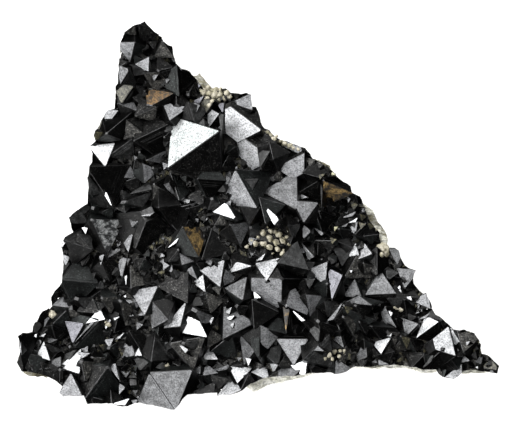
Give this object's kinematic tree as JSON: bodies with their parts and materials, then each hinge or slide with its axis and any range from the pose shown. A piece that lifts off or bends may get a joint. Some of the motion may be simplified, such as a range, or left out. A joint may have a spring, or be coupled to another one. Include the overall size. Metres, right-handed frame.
{
  "type": "magnetite specimen",
  "caption": "Triangular plate of pale rock covered by a crust of lustrous black octahedral crystals with small cream grains between them.",
  "frame": {"origin": "centre of the specimen's box in plan, on the flat underside it lies on", "axes": "+X to the right and +Y up the crystal-covered front as it is shown, +Z out of the front, away from the rock"},
  "size_m": [0.0961, 0.0776, 0.0224],
  "materials": {
    "magnetite": "black with a metallic lustre, smooth crystal faces",
    "rock": "dull, granular, cream to olive",
    "feldspar": "cream, slightly waxy grains"
  },
  "bodies": {
    "root": {"matrix": "rock", "magnetite_crust": "magnetite", "feldspar_grains_middle": "feldspar", "feldspar_grains_top": "feldspar", "feldspar_grain_right": "feldspar", "feldspar_grains_tail": "feldspar", "feldspar_grain_lower": "feldspar", "feldspar_grain_corner": "feldspar", "feldspar_grain_left": "feldspar"}
  },
  "joints": []
}
